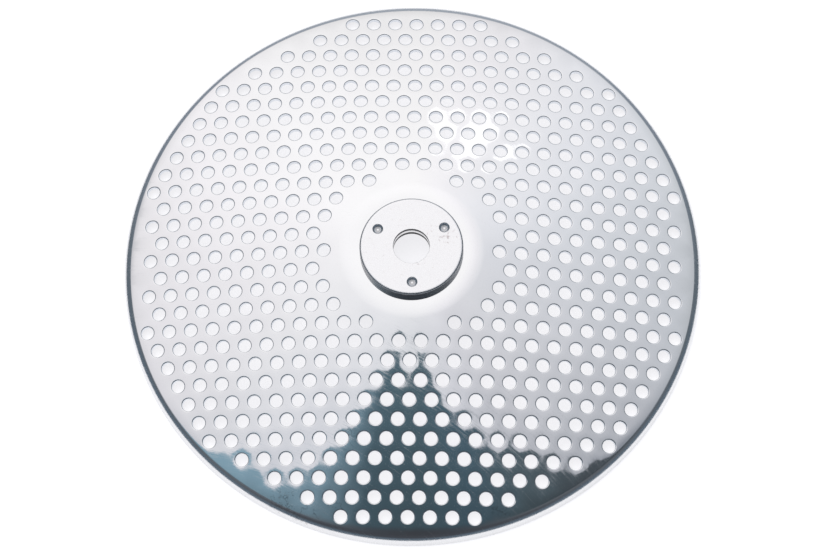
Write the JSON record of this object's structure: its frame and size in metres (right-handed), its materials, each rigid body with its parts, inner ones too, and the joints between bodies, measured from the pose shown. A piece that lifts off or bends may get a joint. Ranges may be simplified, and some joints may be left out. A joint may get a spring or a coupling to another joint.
{
  "type": "food mill sieve disc",
  "caption": "Round conical sieve disc with staggered holes, a turned-down rim and a thick bored washer welded at its centre.",
  "frame": {"origin": "on the disc's axis, level with the rim's lower edge", "axes": "+Z along the disc's axis, towards the side that the cone rises to and the washer is welded on"},
  "size_m": [0.132, 0.132, 0.016],
  "materials": {
    "disc_steel": "polished, with faint brush lines",
    "washer_steel": "satin"
  },
  "bodies": {
    "root": {"sieve_disc": "disc_steel", "hub_washer": "washer_steel"}
  },
  "joints": []
}
